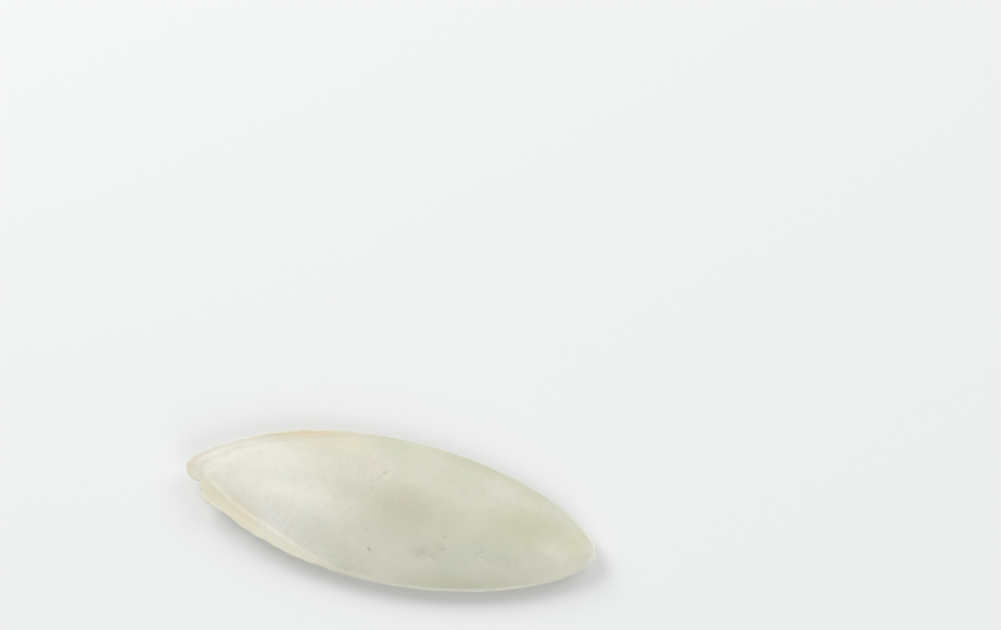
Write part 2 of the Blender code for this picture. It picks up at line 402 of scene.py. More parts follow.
def margin_thickness(x, y, to_edge):
    """Thickness of the margin, to_edge being the distance to the real edge, chip and all."""
    inward = np.minimum(1.0, distance_inside(x, y) / margin_width(x, y))
    full = RIM_THICKNESS + (FOOT_THICKNESS - RIM_THICKNESS) * inward
    rounding = np.clip(to_edge / RIM_ROUND, 0.0, 1.0)
    return full * np.sqrt(1 - (1 - rounding) ** 2)


def chalk_share(x, y):
    """1 on the chalk and 0 on the bare margin, changing over about a millimetre."""
    past_foot = distance_inside(x, y) - margin_width(x, y)
    ended = smooth_step(CHALK_TAIL_X, CHALK_TAIL_X + 0.002, x)
    return smooth_step(-0.0006, 0.0008, past_foot) * ended


def chalk_height(x, y, station):
    """Height of the chalk above the margin. The station is the x at which its ring meets the rim."""
    run = (x - CHALK_TAIL_X) / (CHALK_HEAD_X - CHALK_TAIL_X)
    foot = foot_half_width(x, y)
    present = (run > 0) & (run < 1) & (foot > 0)
    run = np.clip(run, 1e-6, 1 - 1e-6)
    across = np.minimum(np.abs(y) / np.maximum(foot, 1e-6), 40.0)
    fullness = TAIL_FULLNESS + (HEAD_FULLNESS - TAIL_FULLNESS) * run
    peak = CHALK_HEIGHT * np.sin(math.pi * run**CHALK_PEAK_SHIFT) ** fullness
    height = peak * (1 - across**SIDE_POWER)
    groove = GROOVE_DEPTH * np.exp(-((y / GROOVE_WIDTH) ** 2)) * np.minimum(1.0, 6 * run)
    height -= RIBBED_STEP * smooth_step(RIBBED_END_X, RIBBED_FULL_X, station)
    height -= groove * smooth_step(RIBBED_END_X, GROOVE_FULL_X, station)
    fillet = FILLET * smooth_step(0.0, FILLET_FULL_RUN, run)
    return np.where(present, (height + np.hypot(height, fillet)) / 2, 0.0)


def tail_lip(x, y):
    """Height of the lip that follows the foot of the chalk round the tail, and of its furrow."""
    past_foot = distance_inside(x, y) - margin_width(x, y)
    lip = LIP_HEIGHT * np.exp(-((past_foot / LIP_WIDTH) ** 2))
    furrow = FURROW_DEPTH * np.exp(-(((past_foot + FURROW_OFFSET) / FURROW_WIDTH) ** 2))
    off_rim = smooth_step(0.0, 0.004, distance_inside(x, y))
    return smooth_step(LIP_FADE_X, LIP_FULL_X, x) * (lip - furrow * off_rim)


def margin_relief(x, y):
    """The margin's slight buckling and its fine lines, which run beside the edge."""
    inside = distance_inside(x, y)
    wide = smooth_step(0.002, 0.007, margin_width(x, y))
    buckle = MARGIN_BUCKLE * waviness(x, y, wavelength=0.016, seed=41)
    lines = MARGIN_LINE_HEIGHT * np.sin(2 * math.pi * inside / MARGIN_LINE_SPACING)
    return (1 - chalk_share(x, y)) * wide * smooth_step(0.0, 0.0015, inside) * (buckle + lines)


def mark_share(mark, x, y, ragged=0.0):
    """1 in the middle of a mark, 0 outside it."""
    ahead, aside = x - mark.x, y - mark.y
    along = (ahead * math.cos(mark.turn) + aside * math.sin(mark.turn)) / mark.length
    across = (aside * math.cos(mark.turn) - ahead * math.sin(mark.turn)) / mark.width
    spread = np.hypot(along, across) + ragged * waviness(x, y, wavelength=0.004, seed=51)
    return smooth_step(1.0, 0.0, spread)


def belly_relief(x, y, phase):
    """Everything on the chalk finer than its main form. The phase counts the striae from the front."""
    relief = UNEVENNESS * waviness(x, y, wavelength=0.034, seed=61)
    relief += 0.35 * UNEVENNESS * waviness(x, y, wavelength=0.011, seed=62)
    relief += DENT_LIP.depth * mark_share(DENT_LIP, x, y)
    for hollow in (LIPPED_DENT, DARK_PIT) + SCRATCHES + SMALL_PITS:
        relief -= hollow.depth * mark_share(hollow, x, y)
    worn = mark_share(WORN_PATCH, x, y, ragged=0.25)
    relief -= WORN_PATCH.depth * worn * (0.6 + 0.6 * waviness(x, y, wavelength=0.0042, seed=63))
    bumps = mark_share(LOW_BUMPS, x, y, ragged=0.2)
    relief += LOW_BUMPS.depth * bumps * waviness(x, y, wavelength=0.0050, seed=64)
    flecked = mark_share(FLECKED_AREA, x, y)
    relief -= FLECKED_AREA.depth * flecked * waviness(x, y, wavelength=0.0030, seed=65)
    return chalk_share(x, y) * (relief + striae(x, y, phase))


def stria_rise(phase):
    """How a single stria rises and drops, from 0 to 1 to 0, steeper towards the tail."""
    return np.sin(math.pi * (np.clip(phase, 0, STRIAE) % 1.0) ** 1.6)


def striae(x, y, phase):
    """The fine steps of the ribbed half, the edges of the bone's chambers, some bolder than others."""
    draw = np.random.default_rng(71)
    bold = draw.uniform(0.35, 1.15, STRIAE + 1)
    bold *= 1 + 0.7 * (draw.uniform(0, 1, STRIAE + 1) > 0.88)
    kept = np.clip(phase, 0, STRIAE)
    rise = stria_rise(kept) * bold[kept.astype(int)]
    fade = smooth_step(0, 3, kept) * (0.75 + 0.25 * waviness(x, y, wavelength=0.020, seed=72))
    return np.where((phase >= 0) & (phase <= STRIAE), STRIA_HEIGHT * rise * fade, 0.0)


def ring_stations():
    """The x at which each ring meets the rim, from the head end to the tail."""
    to_ribs = np.sin(np.linspace(math.pi / 2, 0, HEAD_RINGS, endpoint=False))
    head = RIBBED_END_X + (HALF_LENGTH - RIBBED_END_X) * to_ribs
    pitches = np.random.default_rng(81).uniform(0.75, 1.30, STRIAE)
    borders = np.concatenate(([0.0], np.cumsum(pitches))) / pitches.sum()
    phases = np.arange(STRIAE * RINGS_PER_STRIA) / RINGS_PER_STRIA
    along_ribs = np.interp(phases, np.arange(STRIAE + 1), borders)
    ribbed = RIBBED_END_X + (RIBBED_TAIL_X - RIBBED_END_X) * along_ribs
    to_tip = 1 - np.sin(np.linspace(0, math.pi / 2, TAIL_RINGS + 1))
    tail = -HALF_LENGTH + (RIBBED_TAIL_X + HALF_LENGTH) * to_tip
    return np.concatenate((head, ribbed, tail))


def belly_offset(x, side, edge, turn):
    """How far from the middle a spoke of the belly runs at x.

    The turn is 0 for the spoke at the edge and 1 for the one in the middle.
    """
    foot = np.maximum(foot_half_width(x, side * edge), LEAST_FOOT_SHARE * edge)
    foot = np.minimum(foot, 0.95 * edge)
    over_margin = np.minimum(turn / MARGIN_SHARE_OF_SPOKES, 1.0)
    inward = np.clip((turn - MARGIN_SHARE_OF_SPOKES) / (1 - MARGIN_SHARE_OF_SPOKES), 0.0, 1.0)
    on_margin = edge - (edge - foot) * over_margin**1.6
    return np.where(turn < MARGIN_SHARE_OF_SPOKES, on_margin, foot * (1 - inward**1.2))


def ring_and_spoke(on_ball):
    """The numbers of the ring and the spoke that each point of the ball is on."""
    from_pole = np.arccos(np.clip(on_ball[:, 0], -1, 1))
    ring = np.rint(from_pole / math.pi * RINGS).astype(int)
    angle = np.arctan2(on_ball[:, 2], on_ball[:, 1]) % (2 * math.pi)
    spoke = np.rint(angle / (2 * math.pi) * SPOKES).astype(int) % SPOKES
    return ring, spoke


def bone_surface(ring, spoke):
    """The bone's surface point for each ring and spoke, its station and its phase in the striae."""
    station = ring_stations()[ring]
    phase = (ring - HEAD_RINGS) / RINGS_PER_STRIA
    at_pole = (ring == 0) | (ring == RINGS)
    on_belly = spoke <= BELLY_SPOKES
    over_belly = spoke / BELLY_SPOKES
    under_back = (spoke - BELLY_SPOKES) / (SPOKES - BELLY_SPOKES)
    far = np.where(on_belly, over_belly < 0.5, under_back > 0.5)
    side = np.where(far, 1.0, -1.0)
    turn = np.clip(1 - np.abs(2 * over_belly - 1), 0.0, 1.0)
    up = np.where(on_belly, np.sin(turn * math.pi / 2), np.sin(under_back * math.pi))
    bulge = np.where(at_pole, 0.0, 1 - (station / HALF_LENGTH) ** 2) * up**2
    into_ribs = smooth_step(RIBBED_END_X + 0.01, RIBBED_END_X - 0.01, station)
    waver = STRIA_WAVER * into_ribs * smooth_step(RIBBED_TAIL_X, RIBBED_TAIL_X + 0.012, station)
    waver = waver * up**2 * waviness(station, side * turn * 0.04, wavelength=0.030, seed=91)
    x = station + RING_BOW * bulge + waver
    edge = np.where(at_pole, 0.0, edge_half_width(x, side))
    on_back = edge * np.abs(np.cos(under_back * math.pi))
    y = side * np.where(on_belly, belly_offset(x, side, edge, turn), on_back)
    hull = hull_height(x, y)
    belly = hull + margin_thickness(x, y, edge - np.abs(y)) + chalk_height(x, y, station)
    belly += tail_lip(x, y) + margin_relief(x, y) + belly_relief(x, y, phase)
    back = np.maximum(0.0, hull - spine_depth(x, y) - growth_ridges(x, y, station))
    at_rim = (spoke == 0) | (spoke == BELLY_SPOKES) | at_pole
    z = np.where(at_rim, hull + RIM_THICKNESS / 3, np.where(on_belly, belly, back))
    return np.stack((x, y, z), axis=1), station, phase


def add_attribute(mesh, name, values):
    """Keeps one number for each point of the mesh, for its material to read."""
    attribute = mesh.attributes.new(name, "FLOAT", "POINT")
    attribute.data.foreach_set("value", np.asarray(values, dtype=np.float32))


def measure_for_materials(mesh, points, station, phase):
    """Gives the mesh the measures that its colours follow."""
    x, y = points[:, 0], points[:, 1]
    inside = distance_inside(x, y)
    to_edge = edge_half_width(x, np.where(y < 0, -1.0, 1.0)) - np.abs(y)
    chalk = chalk_share(x, y)
    in_ribbed = (phase >= 0) & (phase <= STRIAE)
    between = np.where(in_ribbed, 1 - stria_rise(phase), 0.0)
    add_attribute(mesh, "chalk", chalk)
    add_attribute(mesh, "inside_mm", 1000 * np.minimum(inside, to_edge))
    add_attribute(mesh, "past_foot_mm", 1000 * (inside - margin_width(x, y)))
    add_attribute(mesh, "station_mm", 1000 * station)
    add_attribute(mesh, "between_striae", between * chalk * smooth_step(0, 4, phase))


def build_bone():
    """The bone, made from a ball by moving each of its points."""
    ball = bmesh.new()
    poles_on_x = Matrix.Rotation(math.pi / 2, 4, "Y")
    bmesh.ops.create_uvsphere(
        ball, u_segments=SPOKES, v_segments=RINGS, radius=1, matrix=poles_on_x
    )
    ring, spoke = ring_and_spoke(np.array([vertex.co[:] for vertex in ball.verts]))
    points, station, phase = bone_surface(ring, spoke)
    for vertex, point in zip(ball.verts, points.tolist()):
        vertex.co = point
    bmesh.ops.recalc_face_normals(ball, faces=ball.faces)
    mesh = bpy.data.meshes.new("cuttlebone_shell")
    ball.to_mesh(mesh)
    ball.free()
    mesh.shade_smooth()
    measure_for_materials(mesh, points, station, phase)
    bone = bpy.data.objects.new("cuttlebone_shell", mesh)
    bpy.context.scene.collection.objects.link(bone)
    return bone


class Nodes:
    """Adds nodes to one material or node group and joins them."""

    def __init__(self, tree):
        self.tree = tree

    def add(self, kind, inputs=(), **settings):
        """A new node. Inputs pairs a socket's name or number with a value or another node's output."""
        node = self.tree.nodes.new(kind)
        for name, value in settings.items():
            setattr(node, name, value)
        for name, value in dict(inputs).items():
            if isinstance(value, bpy.types.NodeSocket):
                self.tree.links.new(value, node.inputs[name])
            else:
                node.inputs[name].default_value = value
        return node

    def placed(self, group, inputs):
        """One use of a node group. Returns its outputs."""
        return self.add("ShaderNodeGroup", inputs, node_tree=group).outputs

    def maths(self, operation, *values):
        """One step of arithmetic."""
        return self.add("ShaderNodeMath", enumerate(values), operation=operation).outputs[0]

    def product(self, first, *others):
        """Several numbers multiplied."""
        for other in others:
            first = self.maths("MULTIPLY", first, other)
        return first

    def ranged(self, value, low, high, to_low=0.0, to_high=1.0):
        """The value taken from one range to another, with smooth ends."""
        limits = {
            "Value": value,
            "From Min": low,
            "From Max": high,
            "To Min": to_low,
            "To Max": to_high,
        }
        return self.add("ShaderNodeMapRange", limits, interpolation_type="SMOOTHSTEP").outputs[0]

    def mixed(self, share, first, second):
        """Two colours mixed."""
        inputs = {0: share, 6: first, 7: second}
        return self.add("ShaderNodeMix", inputs, data_type="RGBA").outputs[2]

    def attribute(self, name):
        """One of the measures that the mesh keeps for its materials."""
        return self.add("ShaderNodeAttribute", attribute_name=name).outputs["Fac"]

    def noise(self, position, scale, detail=3.0, roughness=0.5, distortion=0.0):
        """An irregular pattern, from 0 to 1."""
        values = {
            "Vector": position,
            "Scale": scale,
            "Detail": detail,
            "Roughness": roughness,
            "Distortion": distortion,
        }
        return self.add("ShaderNodeTexNoise", values).outputs["Fac"]


def new_group(name, inputs, outputs):
    """An empty node group with named sockets. Returns its tree, its nodes and its two ends."""
    tree = bpy.data.node_groups.new(name, "ShaderNodeTree")
    kinds = {"number": "NodeSocketFloat", "place": "NodeSocketVector", "colour": "NodeSocketColor"}
    for label, kind in inputs.items():
        tree.interface.new_socket(label, in_out="INPUT", socket_type=kinds[kind])
    for label, kind in outputs.items():
        tree.interface.new_socket(label, in_out="OUTPUT", socket_type=kinds[kind])
    start = tree.nodes.new("NodeGroupInput")
    end = tree.nodes.new("NodeGroupOutput")
    return tree, Nodes(tree), start.outputs, end.inputs


def cloudiness_group():
    """Soft uneven patches: where a colour is a little stronger or weaker."""
    inputs = {"Position": "place", "Scale": "number", "Seed": "number"}
    tree, nodes, start, end = new_group("cloudiness", inputs, {"Mask": "number"})
    shifted = nodes.add(
        "ShaderNodeVectorMath", {0: start["Position"], 1: start["Seed"]}, operation="ADD"
    )
    place = shifted.outputs[0]
    broad = nodes.noise(place, start["Scale"], detail=4.0, roughness=0.55, distortion=0.4)
    tree.links.new(nodes.ranged(broad, 0.33, 0.68), end["Mask"])
    return tree


def powder_group():
    """The fine grain of a powdery or horny surface, and the specks of its open pores."""
    inputs = {"Position": "place", "Grains": "number"}
    tree, nodes, start, end = new_group("powder", inputs, {"Height": "number", "Pores": "number"})
    grain = nodes.noise(start["Position"], start["Grains"], detail=4.0, roughness=0.65)
    wide = nodes.maths("MULTIPLY", start["Grains"], 0.42)
    cells = nodes.add(
        "ShaderNodeTexVoronoi", {"Vector": start["Position"], "Scale": wide, "Randomness": 1.0}
    )
    wider = nodes.maths("MULTIPLY", start["Grains"], 0.21)
    chosen = nodes.ranged(nodes.noise(start["Position"], wider, detail=2.0), 0.50, 0.66)
    dots = nodes.ranged(cells.outputs["Distance"], 0.34, 0.10)
    pores = nodes.product(dots, chosen)
    height = nodes.maths("SUBTRACT", grain, nodes.product(pores, 0.8))
    tree.links.new(height, end["Height"])
    tree.links.new(pores, end["Pores"])
    return tree


def mark_group():
    """A mark on the surface: an oval, turned, with a ragged outline.

    The core is the inner share of it that is full.
    """
    inputs = {
        "Position": "place",
        "Centre": "place",
        "Turn": "place",
        "Size": "place",
        "Ragged": "number",
        "Core": "number",
    }
    tree, nodes, start, end = new_group("small_mark", inputs, {"Mask": "number"})
    places = {
        "Vector": start["Position"],
        "Location": start["Centre"],
        "Rotation": start["Turn"],
        "Scale": start["Size"],
    }
    local = nodes.add("ShaderNodeMapping", places, vector_type="TEXTURE")
    flat = nodes.add(
        "ShaderNodeVectorMath", {0: local.outputs[0], 1: (1, 1, 0)}, operation="MULTIPLY"
    )
    reach = nodes.add("ShaderNodeVectorMath", {0: flat.outputs[0]}, operation="LENGTH")
    rough = nodes.noise(start["Position"], scale=900.0, detail=3.0, roughness=0.6)
    uneven = nodes.product(nodes.maths("SUBTRACT", rough, 0.5), start["Ragged"])
    spread = nodes.maths("ADD", reach.outputs["Value"], uneven)
    tree.links.new(nodes.ranged(spread, 1.0, start["Core"]), end["Mask"])
    return tree


def line_group():
    """Fine lines at an even spacing along a measured distance, broken as growth lines are."""
    inputs = {
        "Along mm": "number",
        "Spacing mm": "number",
        "Position": "place",
        "Waver": "number",
    }
    tree, nodes, start, end = new_group("growth_lines", inputs, {"Mask": "number"})
    drift = nodes.noise(start["Position"], scale=60.0, detail=2.0)
    pushed = nodes.maths("MULTIPLY_ADD", drift, start["Waver"], start["Along mm"])
    turns = nodes.maths("DIVIDE", pushed, start["Spacing mm"])
    wave = nodes.maths("SINE", nodes.product(turns, 2 * math.pi))
    strength = nodes.noise(start["Position"], scale=150.0, detail=3.0, roughness=0.6)
    strong = nodes.ranged(strength, 0.35, 0.65)
    tree.links.new(nodes.product(nodes.ranged(wave, 0.1, 1.0), strong), end["Mask"])
    return tree


def rubbed_edge_group():
    """Where handling has rubbed a thin edge paler, in from the edge by an uneven reach."""
    inputs = {"Inside mm": "number", "Reach mm": "number", "Position": "place"}
    tree, nodes, start, end = new_group("rubbed_edge", inputs, {"Mask": "number"})
    rough = nodes.noise(start["Position"], scale=260.0, detail=4.0, roughness=0.6)
    reach = nodes.product(nodes.maths("MULTIPLY_ADD", rough, 1.6, 0.2), start["Reach mm"])
    share = nodes.maths("DIVIDE", start["Inside mm"], reach)
    tree.links.new(nodes.ranged(share, 1.0, 0.3), end["Mask"])
    return tree


def margin_tint_group():
    """The margin's colour: olive amber beside the tail and chalky from the middle on.

    On the far side of the head end it carries a painted rim light, a white band along the rim.
    """
    inputs = {
        "Position": "place",
        "Inside mm": "number",
        "Rubbed": "number",
        "Cloud": "number",
        "Lines": "number",
    }
    tree, nodes, start, end = new_group("margin_tint", inputs, {"Colour": "colour"})
    amber = nodes.mixed(start["Cloud"], MARGIN_OLIVE, MARGIN_AMBER)
    inward = nodes.ranged(start["Inside mm"], 1.5, 6.5, 0.0, 0.65)
    layered = nodes.mixed(inward, amber, MARGIN_INNER)
    lined = nodes.mixed(nodes.product(start["Lines"], 0.12), layered, MARGIN_LINE_TINT)
    split = nodes.add("ShaderNodeSeparateXYZ", {"Vector": start["Position"]})
    headward = nodes.ranged(split.outputs["X"], *MARGIN_TURNS_CHALKY_X)
    chalky = nodes.mixed(headward, lined, MARGIN_CHALKY)
    # Painted rim light: the rim turns white on the far side of the head end
    headmost = nodes.ranged(split.outputs["X"], *MARGIN_RIM_LIGHT_X)
    far_side = nodes.ranged(split.outputs["Y"], *FAR_SIDE_Y)
    painted_rim_light = nodes.mixed(nodes.product(headmost, far_side), chalky, HEAD_RIM_PAINTED_LIGHT)
    rubbing = nodes.ranged(split.outputs["X"], *MARGIN_TURNS_CHALKY_X, 0.36, 0.18)
    rubbed = nodes.product(start["Rubbed"], rubbing)
    tree.links.new(nodes.mixed(rubbed, painted_rim_light, MARGIN_RUBBED), end["Colour"])
    return tree


def build_groups():
    """The node groups that the materials share."""
    return {
        "cloud": cloudiness_group(),
        "powder": powder_group(),
        "mark": mark_group(),
        "lines": line_group(),
        "rubbed": rubbed_edge_group(),
        "margin": margin_tint_group(),
    }


def new_material(name, roughness, specular, subsurface, radius):
    """A material with its Principled shader's even values set. Returns it, its nodes and the shader."""
    material = bpy.data.materials.new(name)
    material.use_nodes = True
    shader = material.node_tree.nodes["Principled BSDF"]
    shader.inputs["Roughness"].default_value = roughness
    shader.inputs["Specular IOR Level"].default_value = specular
    shader.inputs["Subsurface Weight"].default_value = subsurface
    shader.inputs["Subsurface Radius"].default_value = radius
    shader.inputs["Subsurface Scale"].default_value = SUBSURFACE_SCALE
    return material, Nodes(material.node_tree), shader


def object_position(nodes):
    """The place of each point on the bone."""
    return nodes.add("ShaderNodeTexCoord").outputs["Object"]


def bumped(nodes, shader, height, distance):
    """Feeds a height to the shader's normal."""
    bump = nodes.add("ShaderNodeBump", {"Height": height, "Distance": distance})
    nodes.tree.links.new(bump.outputs["Normal"], shader.inputs["Normal"])


def cloud_mask(nodes, groups, position, scale, seed):
    """The mask of soft uneven patches in a material."""
    inputs = {"Position": position, "Scale": scale, "Seed": seed}
    return nodes.placed(groups["cloud"], inputs)["Mask"]


def mark_mask(nodes, groups, position, mark, ragged, core):
    """A mark's mask in a material."""
    inputs = {
        "Position": position,
        "Centre": (mark.x, mark.y, 0),
        "Turn": (0, 0, mark.turn),
        "Size": (mark.length, mark.width, 1),
        "Ragged": ragged,
        "Core": core,
    }
    return nodes.placed(groups["mark"], inputs)["Mask"]


def widest_mask(nodes, groups, position, marks, ragged):
    """One mask for several marks of a kind."""
    widest = 0.0
    for mark in marks:
        mask = mark_mask(nodes, groups, position, mark, ragged, core=0.2)
        widest = nodes.maths("MAXIMUM", mask, widest)
    return widest


def patched(nodes, groups, position, colour, patches):
    """The colour with soft stains, painted light and painted shadow on it."""
    for patch in patches:
        mask = mark_mask(nodes, groups, position, patch.mark, ragged=0.4, core=0.0)
        colour = nodes.mixed(nodes.product(mask, patch.share), colour, patch.colour)
    return colour


def margin_colour(nodes, groups, position):
    """The margin's colour and the mask of its lines, in a material."""
    inside = nodes.attribute("inside_mm")
    rubbing = {"Inside mm": inside, "Reach mm": 0.9, "Position": position}
    rubbed = nodes.placed(groups["rubbed"], rubbing)["Mask"]
    lining = {
        "Along mm": inside,
        "Spacing mm": 1000 * MARGIN_LINE_SPACING,
        "Position": position,
        "Waver": 1.4,
    }
    lines = nodes.placed(groups["lines"], lining)["Mask"]
    tinting = {
        "Position": position,
        "Inside mm": inside,
        "Rubbed": rubbed,
        "Cloud": cloud_mask(nodes, groups, position, scale=42.0, seed=3.1),
        "Lines": lines,
    }
    colour = nodes.placed(groups["margin"], tinting)["Colour"]
    return patched(nodes, groups, position, colour, MARGIN_STAINS_AND_PAINTED_LIGHT), lines


def chalk_colour(nodes, groups, position):
    """The chalk's colour without its speckle and small marks, and the mask of its uneven green.

    It is pale at both ends and greenish in the middle. The horny base shows through where the chalk
    thins out towards the rim of the front half, and a painted rim light whitens the rim on the far side
    of the head end.
    """
    split = nodes.add("ShaderNodeSeparateXYZ", {"Vector": position})
    to_tail = nodes.ranged(split.outputs["X"], *TAIL_PALES_X)
    to_head = nodes.ranged(split.outputs["X"], *HEAD_PALES_X, 0.0, 0.6)
    inner = nodes.maths("SUBTRACT", 1.0, nodes.maths("MAXIMUM", to_tail, to_head))
    uneven = cloud_mask(nodes, groups, position, scale=24.0, seed=7.7)
    green = nodes.product(nodes.maths("MULTIPLY_ADD", uneven, 0.5, 0.5), inner)
    colour = nodes.mixed(green, CHALK_PALE, CHALK_GREEN)
    warm = cloud_mask(nodes, groups, position, scale=38.0, seed=1.9)
    colour = nodes.mixed(nodes.product(warm, 0.30), colour, CHALK_WARM)
    # Stains, with painted light lifting the flanks and the ends and painted shadow across the centre
    colour = patched(nodes, groups, position, colour, CHALK_STAINS_AND_PAINTED_LIGHT)
    inside = nodes.attribute("inside_mm")
    thin = nodes.ranged(inside, 11.0, 0.5)
    begun = nodes.ranged(split.outputs["X"], *THIN_CHALK_BEGINS_X)
    not_ended = nodes.ranged(split.outputs["X"], *THIN_CHALK_ENDS_X)
    colour = nodes.mixed(nodes.product(thin, begun, not_ended, 0.42), colour, THIN_CHALK_TINT)
    # Painted rim light: the rim turns white on the far side of the head end
    near_rim = nodes.ranged(inside, 3.2, 1.1)
    headmost = nodes.ranged(split.outputs["X"], *CHALK_RIM_LIGHT_X)
    far_side = nodes.ranged(split.outputs["Y"], *FAR_SIDE_Y)
    painted_rim_light = nodes.product(near_rim, headmost, far_side)
    return nodes.mixed(painted_rim_light, colour, HEAD_RIM_PAINTED_LIGHT), uneven


def speckled(nodes, groups, position, colour, pores):
    """The chalk's colour with the painted shade between its striae, its mottle, its pores and its
    flecks.
    """
    # Painted shade: darker in the grooves between the striae, where shade falls
    between = nodes.product(nodes.attribute("between_striae"), 0.09)
    colour = nodes.mixed(between, colour, STRIA_GROOVE_PAINTED_SHADE)
    mottle = nodes.noise(position, scale=240.0, detail=5.0, roughness=0.62, distortion=0.3)
    mottle = nodes.product(nodes.ranged(mottle, 0.44, 0.66), 0.12)
    colour = nodes.mixed(mottle, colour, MOTTLE_TINT)
    flecked = mark_mask(nodes, groups, position, FLECKED_AREA, ragged=0.5, core=0.0)
    pores = nodes.product(pores, nodes.maths("MULTIPLY_ADD", flecked, 0.24, 0.08))
    colour = nodes.mixed(pores, colour, PORE_TINT)
    fleck = nodes.noise(position, scale=430.0, detail=3.0, roughness=0.6)
    fleck = nodes.product(nodes.ranged(fleck, 0.56, 0.70), flecked, 0.30)
    return nodes.mixed(fleck, colour, FLECK_TINT)


def marked(nodes, groups, position, colour):
    """The chalk's colour with its small marks, and the hollows' masks with their depths in the bump."""
    # Painted shade in the dent and a painted highlight on its lip
    dent = mark_mask(nodes, groups, position, LIPPED_DENT, ragged=0.7, core=0.1)
    colour = nodes.mixed(nodes.product(dent, 0.40), colour, DENT_PAINTED_SHADE)
    lip = mark_mask(nodes, groups, position, DENT_LIP, ragged=0.6, core=0.1)
    colour = nodes.mixed(nodes.product(lip, 0.45), colour, DENT_LIP_PAINTED_HIGHLIGHT)
    pit = mark_mask(nodes, groups, position, DARK_PIT, ragged=0.8, core=0.2)
    colour = nodes.mixed(nodes.product(pit, 0.46), colour, DARK_PIT_TINT)
    blotch = nodes.noise(position, scale=210.0, detail=4.0, roughness=0.6)
    blotch = nodes.ranged(blotch, 0.36, 0.66, 0.25, 1.0)
    worn = mark_mask(nodes, groups, position, WORN_PATCH, ragged=0.8, core=0.25)
    worn = nodes.product(worn, blotch)
    colour = nodes.mixed(nodes.product(worn, 0.42), colour, WORN_TINT)
    low_bumps = mark_mask(nodes, groups, position, LOW_BUMPS, ragged=0.7, core=0.1)
    low_bumps = nodes.product(low_bumps, nodes.ranged(blotch, 0.35, 0.90))
    colour = nodes.mixed(nodes.product(low_bumps, 0.22), colour, LOW_BUMPS_TINT)
    scratched = widest_mask(nodes, groups, position, SCRATCHES, ragged=0.9)
    colour = nodes.mixed(nodes.product(scratched, 0.30), colour, SCRATCH_TINT)
    pitted = widest_mask(nodes, groups, position, SMALL_PITS, ragged=0.7)
    colour = nodes.mixed(nodes.product(pitted, 0.24), colour, SMALL_PIT_TINT)
    return colour, ((pit, 3.0), (scratched, 2.5), (pitted, 1.8), (worn, 2.0))


def chalk_material(groups):
    """The matte chalk of the belly, and the margin's colour where the chalk ends."""
    material, nodes, shader = new_material(
        "chalk_belly", roughness=0.82, specular=0.28, subsurface=0.12, radius=(1.0, 0.9, 0.7)
    )
    position = object_position(nodes)
    powder = nodes.placed(groups["powder"], {"Position": position, "Grains": 1500.0})
    dust = nodes.placed(groups["powder"], {"Position": position, "Grains": 520.0})
    colour, uneven = chalk_colour(nodes, groups, position)
    colour = speckled(nodes, groups, position, colour, dust["Pores"])
    colour, hollows = marked(nodes, groups, position, colour)
    border, _ = margin_colour(nodes, groups, position)
    chalk = nodes.attribute("chalk")
    nodes.tree.links.new(nodes.mixed(chalk, border, colour), shader.inputs["Base Color"])
    roughness = nodes.maths("MULTIPLY_ADD", uneven, 0.10, 0.76)
    nodes.tree.links.new(roughness, shader.inputs["Roughness"])
    height = nodes.maths("MULTIPLY_ADD", dust["Height"], 1.6, powder["Height"])
    for mask, depth in hollows:
        height = nodes.maths("SUBTRACT", height, nodes.product(mask, depth))
    bumped(nodes, shader, height, distance=0.00007)
    return material


def margin_material(groups):
    """The translucent horny margin."""
    material, nodes, shader = new_material(
        "horny_margin", roughness=0.46, specular=0.45, subsurface=0.30, radius=(1.0, 0.8, 0.5)
    )
    position = object_position(nodes)
    colour, lines = margin_colour(nodes, groups, position)
    # Painted shade: darker in the furrow outside the lip, where shade falls in the recess
    furrow = nodes.ranged(nodes.attribute("past_foot_mm"), -4.6, -2.6, 0.0, 0.05)
    colour = nodes.mixed(furrow, colour, MARGIN_FURROW_PAINTED_SHADE)
    nodes.tree.links.new(colour, shader.inputs["Base Color"])
    powder = nodes.placed(groups["powder"], {"Position": position, "Grains": 900.0})
    roughness = nodes.maths("MULTIPLY_ADD", powder["Height"], 0.22, 0.36)
    nodes.tree.links.new(roughness, shader.inputs["Roughness"])
    height = nodes.maths("MULTIPLY_ADD", lines, -0.9, powder["Height"])
    bumped(nodes, shader, height, distance=0.00006)
    return material


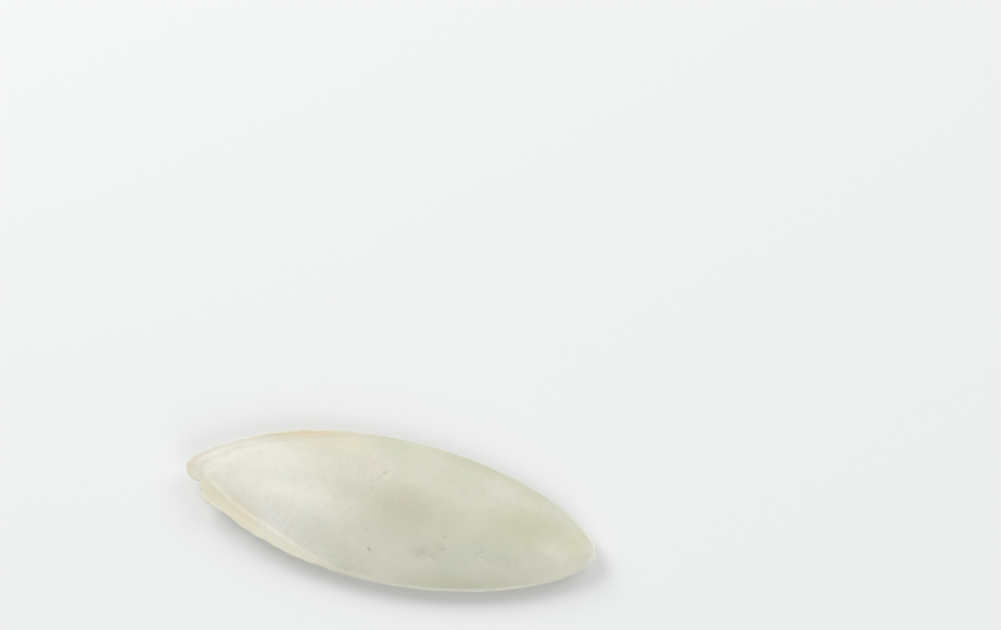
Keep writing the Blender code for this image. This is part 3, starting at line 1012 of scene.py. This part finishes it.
def back_material(groups):
    """The hard back: cream, grained all over, with growth lines and a horny border."""
    material, nodes, shader = new_material(
        "hard_back", roughness=0.60, specular=0.40, subsurface=0.10, radius=(1.0, 0.8, 0.6)
    )
    position = object_position(nodes)
    inside = nodes.attribute("inside_mm")
    cloud = cloud_mask(nodes, groups, position, scale=30.0, seed=5.3)
    grains = nodes.placed(groups["powder"], {"Position": position, "Grains": 700.0})
    lining = {
        "Along mm": nodes.attribute("station_mm"),
        "Spacing mm": 1000 * GROWTH_RIDGE_SPACING,
        "Position": position,
        "Waver": 3.0,
    }
    lines = nodes.placed(groups["lines"], lining)["Mask"]
    colour = nodes.mixed(cloud, BACK_CREAM, BACK_TAN)
    colour = nodes.mixed(nodes.product(lines, 0.16), colour, BACK_LINE_TINT)
    colour = nodes.mixed(nodes.product(grains["Pores"], 0.22), colour, BACK_PORE_TINT)
    border, _ = margin_colour(nodes, groups, position)
    colour = nodes.mixed(nodes.ranged(inside, 5.5, 1.0), colour, border)
    nodes.tree.links.new(colour, shader.inputs["Base Color"])
    cells = {"Vector": position, "Scale": 620.0, "Smoothness": 0.6, "Randomness": 0.9}
    bumps = nodes.add("ShaderNodeTexVoronoi", cells, feature="SMOOTH_F1")
    height = nodes.maths("MULTIPLY_ADD", bumps.outputs["Distance"], -2.2, grains["Height"])
    height = nodes.product(height, nodes.ranged(inside, 0.5, 4.0, 0.35, 1.0))
    bumped(nodes, shader, height, distance=0.00013)
    return material


def dress_bone(bone):
    """Gives the bone its three materials: the chalk, the bare margin and the back."""
    mesh = bone.data
    groups = build_groups()
    for make in (chalk_material, margin_material, back_material):
        mesh.materials.append(make(groups))
    normals = np.zeros(3 * len(mesh.polygons))
    centres = np.zeros(3 * len(mesh.polygons))
    mesh.polygons.foreach_get("normal", normals)
    mesh.polygons.foreach_get("center", centres)
    x, y, z = centres.reshape(-1, 3).T
    below_rim = z < hull_height(x, y) + 0.25 * RIM_THICKNESS
    on_back = below_rim & (normals[2::3] < 0.3)
    on_chalk = chalk_share(x, y) > 0.5
    index = np.where(on_back, 2, np.where(on_chalk, 0, 1))
    mesh.polygons.foreach_set("material_index", index.astype(np.int32))
    mesh.update()


def build_floor():
    """A plain pale floor."""
    disc = bmesh.new()
    bmesh.ops.create_circle(disc, cap_ends=True, segments=96, radius=FLOOR_RADIUS)
    mesh = bpy.data.meshes.new("studio_floor")
    disc.to_mesh(mesh)
    disc.free()
    floor = bpy.data.objects.new("studio_floor", mesh)
    bpy.context.scene.collection.objects.link(floor)
    material = bpy.data.materials.new("floor_paper")
    material.use_nodes = True
    shader = material.node_tree.nodes["Principled BSDF"]
    shader.inputs["Base Color"].default_value = FLOOR_COLOUR
    shader.inputs["Roughness"].default_value = 0.9
    shader.inputs["Specular IOR Level"].default_value = 0.2
    mesh.materials.append(material)


def add_softbox(name, place, power):
    """A square soft light that faces the bone."""
    light = bpy.data.lights.new(name, "AREA")
    light.shape = "SQUARE"
    light.size = SOFTBOX_SIZE
    light.energy = power
    softbox = bpy.data.objects.new(name, light)
    softbox.location = place
    softbox.rotation_euler = place.to_track_quat("Z", "Y").to_euler()
    bpy.context.scene.collection.objects.link(softbox)


def light_studio():
    """A pale sky, a strong softbox beyond the tail and two weaker ones beside the head end."""
    world = bpy.data.worlds.new("studio_sky")
    world.use_nodes = True
    background = world.node_tree.nodes["Background"]
    background.inputs["Color"].default_value = SKY_COLOUR
    background.inputs["Strength"].default_value = SKY_STRENGTH
    bpy.context.scene.world = world
    bpy.context.scene.view_settings.view_transform = "Standard"
    add_softbox("key_softbox", KEY_PLACE, KEY_POWER)
    add_softbox("far_softbox", FAR_PLACE, FAR_POWER)
    add_softbox("near_softbox", NEAR_PLACE, NEAR_POWER)


def add_camera():
    """A camera above the bone, which looks down as the photograph does."""
    data = bpy.data.cameras.new("camera")
    data.lens = LENS_MM
    data.sensor_width = SENSOR_MM
    data.clip_end = 50
    camera = bpy.data.objects.new("camera", data)
    back_x = math.sin(CAMERA_AZIMUTH) * math.cos(CAMERA_ELEVATION)
    back_y = -math.cos(CAMERA_AZIMUTH) * math.cos(CAMERA_ELEVATION)
    back = Vector((back_x, back_y, math.sin(CAMERA_ELEVATION)))
    camera.location = CAMERA_AIM + CAMERA_DISTANCE * back
    camera.rotation_euler = back.to_track_quat("Z", "Y").to_euler()
    bpy.context.scene.collection.objects.link(camera)
    bpy.context.scene.camera = camera


add_camera()
bone = build_bone()
dress_bone(bone)
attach(bone, "root")
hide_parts("cuttlebone")
build_floor()
light_studio()
